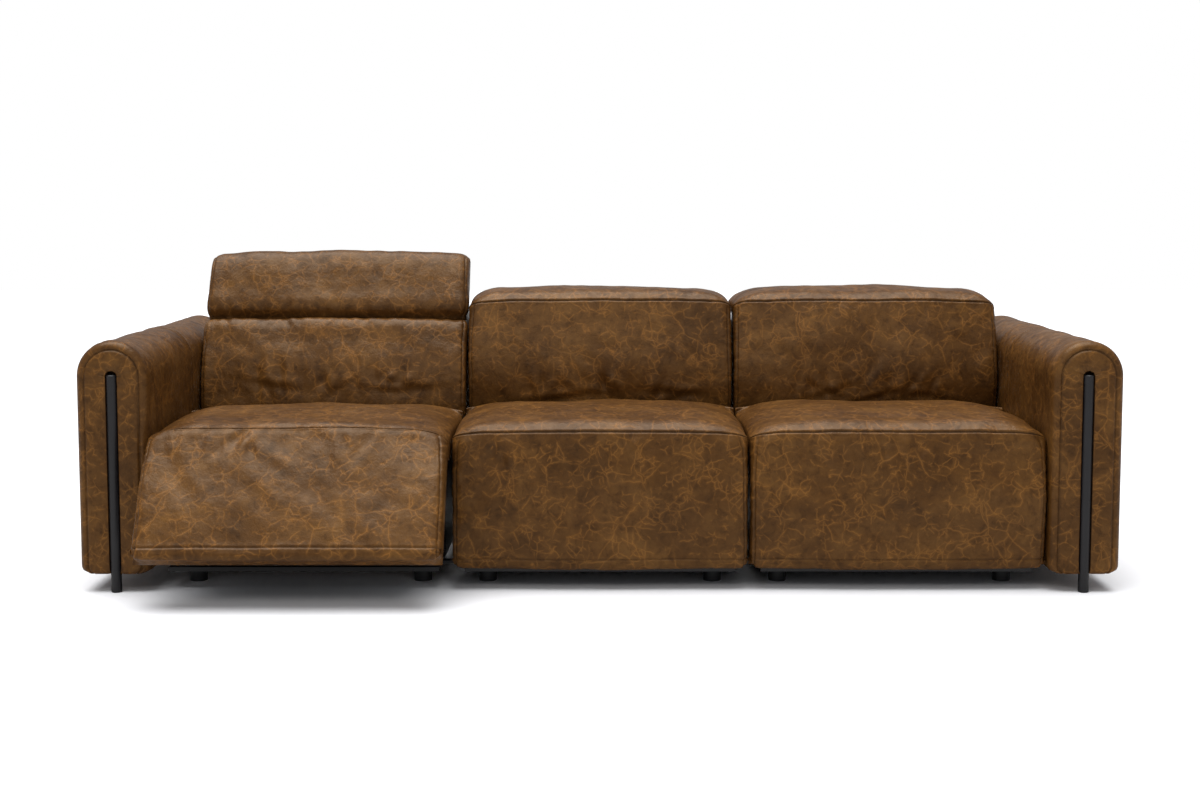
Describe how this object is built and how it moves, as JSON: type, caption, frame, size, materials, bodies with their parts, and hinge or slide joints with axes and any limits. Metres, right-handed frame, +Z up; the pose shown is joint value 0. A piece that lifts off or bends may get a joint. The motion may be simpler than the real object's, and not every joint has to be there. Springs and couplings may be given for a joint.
{
  "type": "reclining sofa",
  "caption": "Leather sofa with power reclining end seats, fixed middle seat, folding headrests and round-topped arms with black front rods.",
  "frame": {"origin": "middle of the footprint's box in the stored pose, on the floor", "axes": "+X to the right seen from the front, along the sofa's length; -Y towards the sitter's feet (front); +Z up"},
  "size_m": [2.668, 1.1924, 0.8519],
  "materials": {
    "leather": "satin",
    "black_metal": "matte",
    "bare_steel": "satin",
    "timber": "sawn",
    "black_plastic": "matte"
  },
  "bodies": {
    "sofa": {"left_base_frame": "black_metal", "left_slide_motor": "black_plastic", "middle_base_frame": "black_metal", "middle_seat_springs": "bare_steel", "middle_seat_cushion": "leather", "middle_front_pad": "leather", "middle_back_frame": "black_metal", "middle_back_cushion": "leather", "middle_back_shell": "leather", "right_base_frame": "black_metal", "right_slide_motor": "black_plastic", "left_arm_cover": "leather", "left_arm_frame": "timber", "left_control_plate": "black_plastic", "left_arm_rod": "black_metal", "right_arm_cover": "leather", "right_arm_frame": "timber", "right_control_plate": "black_plastic", "right_arm_rod": "black_metal", "feet": "black_plastic", "joining_bars": "black_metal", "rear_panels": "leather", "rod_bolts": "bare_steel", "power_inlets": "black_plastic"},
    "left_seat": {"left_seat_frame": "black_metal", "left_seat_springs": "bare_steel", "left_seat_cushion": "leather", "left_footrest_motor": "black_plastic", "left_slide_push_rod": "bare_steel"},
    "left_footrest": {"left_footrest_frame": "black_metal", "left_footrest_pad": "leather"},
    "left_crank": {"left_drive_tube": "bare_steel"},
    "left_links": {"left_footrest_links": "bare_steel"},
    "left_pusher": {"left_footrest_push_rod": "bare_steel"},
    "left_back": {"left_back_frame": "black_metal", "left_back_cushion": "leather", "left_back_shell": "leather"},
    "left_headrest": {"left_headrest_frame": "black_metal", "left_headrest_pad": "leather"},
    "left_rocker": {"left_control_rocker": "black_plastic"},
    "right_seat": {"right_seat_frame": "black_metal", "right_seat_springs": "bare_steel", "right_seat_cushion": "leather", "right_footrest_motor": "black_plastic", "right_slide_push_rod": "bare_steel"},
    "right_footrest": {"right_footrest_frame": "black_metal", "right_footrest_pad": "leather"},
    "right_crank": {"right_drive_tube": "bare_steel"},
    "right_links": {"right_footrest_links": "bare_steel"},
    "right_pusher": {"right_footrest_push_rod": "bare_steel"},
    "right_back": {"right_back_frame": "black_metal", "right_back_cushion": "leather", "right_back_shell": "leather"},
    "right_headrest": {"right_headrest_frame": "black_metal", "right_headrest_pad": "leather"},
    "right_rocker": {"right_control_rocker": "black_plastic"},
    "middle_headrest": {"middle_headrest_frame": "black_metal", "middle_headrest_pad": "leather"}
  },
  "joints": [
    {"name": "left_seat_slide", "type": "slide", "parent": "sofa", "child": "left_seat", "axis": [0, -1, 0], "range_m": [-0.07, 0.07]},
    {"name": "left_back_recline", "type": "hinge", "parent": "left_seat", "child": "left_back", "pos_m": [-0.766, 0.223, 0.31], "axis": [-1, 0, 0], "range_deg": [-16.02, 16.02]},
    {"name": "left_footrest_swing", "type": "hinge", "parent": "left_seat", "child": "left_footrest", "pos_m": [-0.766, -0.387, 0.38], "axis": [-1, 0, 0], "range_deg": [-33, 57]},
    {"name": "left_crank_turn", "type": "hinge", "parent": "left_seat", "child": "left_crank", "pos_m": [-0.766, -0.288, 0.281], "axis": [-1, 0, 0], "range_deg": [-33.02, 57.02]},
    {"name": "left_link_turn", "type": "hinge", "parent": "left_crank", "child": "left_links", "pos_m": [-0.766, -0.31813, 0.15749], "axis": [-1, 0, 0], "range_deg": [-57.02, 33.02]},
    {"name": "left_footrest_push", "type": "slide", "parent": "left_seat", "child": "left_pusher", "axis": [0, -1, 0], "range_m": [-0.02467, 0.04254]},
    {"name": "left_headrest_tilt", "type": "hinge", "parent": "left_back", "child": "left_headrest", "pos_m": [-0.766, 0.30919, 0.665], "axis": [1, 0, 0], "range_deg": [-80, 0]},
    {"name": "left_rocker_tilt", "type": "hinge", "parent": "sofa", "child": "left_rocker", "pos_m": [-1.3285, -0.137, 0.47], "axis": [0, 0, 1], "range_deg": [-7, 7], "stiffness_Nm_per_rad": 0.4},
    {"name": "right_seat_slide", "type": "slide", "parent": "sofa", "child": "right_seat", "axis": [0, -1, 0], "range_m": [0, 0.14]},
    {"name": "right_back_recline", "type": "hinge", "parent": "right_seat", "child": "right_back", "pos_m": [0.766, 0.293, 0.31], "axis": [-1, 0, 0], "range_deg": [0, 32.02]},
    {"name": "right_footrest_swing", "type": "hinge", "parent": "right_seat", "child": "right_footrest", "pos_m": [0.766, -0.317, 0.38], "axis": [-1, 0, 0], "range_deg": [0, 90]},
    {"name": "right_crank_turn", "type": "hinge", "parent": "right_seat", "child": "right_crank", "pos_m": [0.766, -0.218, 0.281], "axis": [-1, 0, 0], "range_deg": [0, 90.02]},
    {"name": "right_link_turn", "type": "hinge", "parent": "right_crank", "child": "right_links", "pos_m": [0.766, -0.176, 0.161], "axis": [-1, 0, 0], "range_deg": [-90.02, 0]},
    {"name": "right_footrest_push", "type": "slide", "parent": "right_seat", "child": "right_pusher", "axis": [0, -1, 0], "range_m": [0, 0.06711]},
    {"name": "right_headrest_tilt", "type": "hinge", "parent": "right_back", "child": "right_headrest", "pos_m": [0.766, 0.278, 0.675], "axis": [1, 0, 0], "range_deg": [0, 80]},
    {"name": "right_rocker_tilt", "type": "hinge", "parent": "sofa", "child": "right_rocker", "pos_m": [1.3285, -0.137, 0.47], "axis": [0, 0, 1], "range_deg": [-7, 7], "stiffness_Nm_per_rad": 0.4},
    {"name": "middle_headrest_tilt", "type": "hinge", "parent": "sofa", "child": "middle_headrest", "pos_m": [0, 0.278, 0.675], "axis": [1, 0, 0], "range_deg": [0, 80]}
  ],
  "couplings": [
    {"joint": "left_back_recline", "follows": "left_seat_slide", "rad_per_m": 3.9893},
    {"joint": "left_crank_turn", "follows": "left_footrest_swing", "ratio": 1},
    {"joint": "left_link_turn", "follows": "left_footrest_swing", "ratio": -1},
    {"joint": "left_footrest_push", "follows": "left_footrest_swing", "m_per_rad": 0.04266},
    {"joint": "right_back_recline", "follows": "right_seat_slide", "rad_per_m": 3.9893},
    {"joint": "right_crank_turn", "follows": "right_footrest_swing", "ratio": 1},
    {"joint": "right_link_turn", "follows": "right_footrest_swing", "ratio": -1},
    {"joint": "right_footrest_push", "follows": "right_footrest_swing", "m_per_rad": 0.04266}
  ]
}
